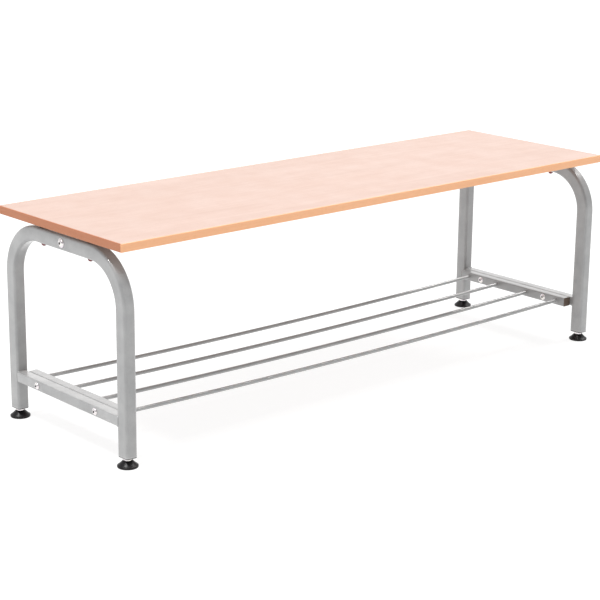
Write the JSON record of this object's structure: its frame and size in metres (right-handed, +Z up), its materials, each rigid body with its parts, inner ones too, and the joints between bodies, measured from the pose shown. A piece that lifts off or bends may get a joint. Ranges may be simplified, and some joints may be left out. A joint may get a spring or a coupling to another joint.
{
  "type": "changing-room bench",
  "caption": "Low bench: banded board seat on two bent-tube end frames, with a bolted rod shoe rack below and screw-adjustable levelling feet.",
  "frame": {"origin": "on the floor, under the middle of the seat, with the feet screwed fully in", "axes": "+X along the seat's length to the right-hand end frame, +Y from the front edge to the rear edge, +Z up"},
  "size_m": [1.3, 0.4, 0.425],
  "materials": {
    "board_laminate": "satin",
    "edge_band": "satin",
    "grey_powder_coat": "satin",
    "zinc_plate": "polished",
    "black_plastic": "gloss",
    "brown_plastic": "matte",
    "dark_screw_steel": "satin"
  },
  "bodies": {
    "bench": {"seat_board": "board_laminate", "edge_band_front": "edge_band", "edge_band_rear": "edge_band", "edge_band_left": "edge_band", "edge_band_right": "edge_band", "seat_beam": "grey_powder_coat", "left_frame_tube": "grey_powder_coat", "left_crossbar": "grey_powder_coat", "rack_tube_left": "grey_powder_coat", "beam_nut_left": "zinc_plate", "left_rail_bolt": "zinc_plate", "right_frame_tube": "grey_powder_coat", "right_crossbar": "grey_powder_coat", "rack_tube_right": "grey_powder_coat", "beam_nut_right": "zinc_plate", "right_rail_bolt": "zinc_plate", "rack_rod_1": "grey_powder_coat", "rack_rod_2": "grey_powder_coat", "rack_rod_3": "grey_powder_coat", "rack_rod_4": "grey_powder_coat", "rack_bolt_left_front": "zinc_plate", "rack_nut_left_front": "zinc_plate", "rack_plug_left_front": "brown_plastic", "leg_insert_left_front": "black_plastic", "rack_bolt_left_rear": "zinc_plate", "rack_nut_left_rear": "zinc_plate", "rack_plug_left_rear": "brown_plastic", "leg_insert_left_rear": "black_plastic", "rack_bolt_right_front": "zinc_plate", "rack_nut_right_front": "zinc_plate", "rack_plug_right_front": "brown_plastic", "leg_insert_right_front": "black_plastic", "rack_bolt_right_rear": "zinc_plate", "rack_nut_right_rear": "zinc_plate", "rack_plug_right_rear": "brown_plastic", "leg_insert_right_rear": "black_plastic", "board_screw_left_front": "dark_screw_steel", "board_spacer_left_front": "black_plastic", "board_screw_left_rear": "dark_screw_steel", "board_spacer_left_rear": "black_plastic", "board_screw_right_front": "dark_screw_steel", "board_spacer_right_front": "black_plastic", "board_screw_right_rear": "dark_screw_steel", "board_spacer_right_rear": "black_plastic", "board_screw_beam_left": "dark_screw_steel", "board_spacer_beam_left": "black_plastic", "board_screw_beam_right": "dark_screw_steel", "board_spacer_beam_right": "black_plastic"},
    "pad_left_front": {"foot_pad_left_front": "black_plastic"},
    "stem_left_front": {"foot_stem_left_front": "zinc_plate"},
    "pad_left_rear": {"foot_pad_left_rear": "black_plastic"},
    "stem_left_rear": {"foot_stem_left_rear": "zinc_plate"},
    "pad_right_front": {"foot_pad_right_front": "black_plastic"},
    "stem_right_front": {"foot_stem_right_front": "zinc_plate"},
    "pad_right_rear": {"foot_pad_right_rear": "black_plastic"},
    "stem_right_rear": {"foot_stem_right_rear": "zinc_plate"}
  },
  "joints": [
    {"name": "foot_height_left_front", "type": "slide", "parent": "bench", "child": "pad_left_front", "axis": [0, 0, 1], "range_m": [-0.015, 0]},
    {"name": "foot_screw_left_front", "type": "hinge", "parent": "pad_left_front", "child": "stem_left_front", "pos_m": [-0.6295, -0.18, 0.01], "axis": [0, 0, 1], "range_deg": [-3610, 10]},
    {"name": "foot_height_left_rear", "type": "slide", "parent": "bench", "child": "pad_left_rear", "axis": [0, 0, 1], "range_m": [-0.015, 0]},
    {"name": "foot_screw_left_rear", "type": "hinge", "parent": "pad_left_rear", "child": "stem_left_rear", "pos_m": [-0.6295, 0.18, 0.01], "axis": [0, 0, 1], "range_deg": [-3610, 10]},
    {"name": "foot_height_right_front", "type": "slide", "parent": "bench", "child": "pad_right_front", "axis": [0, 0, 1], "range_m": [-0.015, 0]},
    {"name": "foot_screw_right_front", "type": "hinge", "parent": "pad_right_front", "child": "stem_right_front", "pos_m": [0.6295, -0.18, 0.01], "axis": [0, 0, 1], "range_deg": [-3610, 10]},
    {"name": "foot_height_right_rear", "type": "slide", "parent": "bench", "child": "pad_right_rear", "axis": [0, 0, 1], "range_m": [-0.015, 0]},
    {"name": "foot_screw_right_rear", "type": "hinge", "parent": "pad_right_rear", "child": "stem_right_rear", "pos_m": [0.6295, 0.18, 0.01], "axis": [0, 0, 1], "range_deg": [-3610, 10]}
  ],
  "couplings": [
    {"joint": "foot_screw_left_front", "follows": "foot_height_left_front", "rad_per_m": 4188.8},
    {"joint": "foot_screw_left_rear", "follows": "foot_height_left_rear", "rad_per_m": 4188.8},
    {"joint": "foot_screw_right_front", "follows": "foot_height_right_front", "rad_per_m": 4188.8},
    {"joint": "foot_screw_right_rear", "follows": "foot_height_right_rear", "rad_per_m": 4188.8}
  ]
}
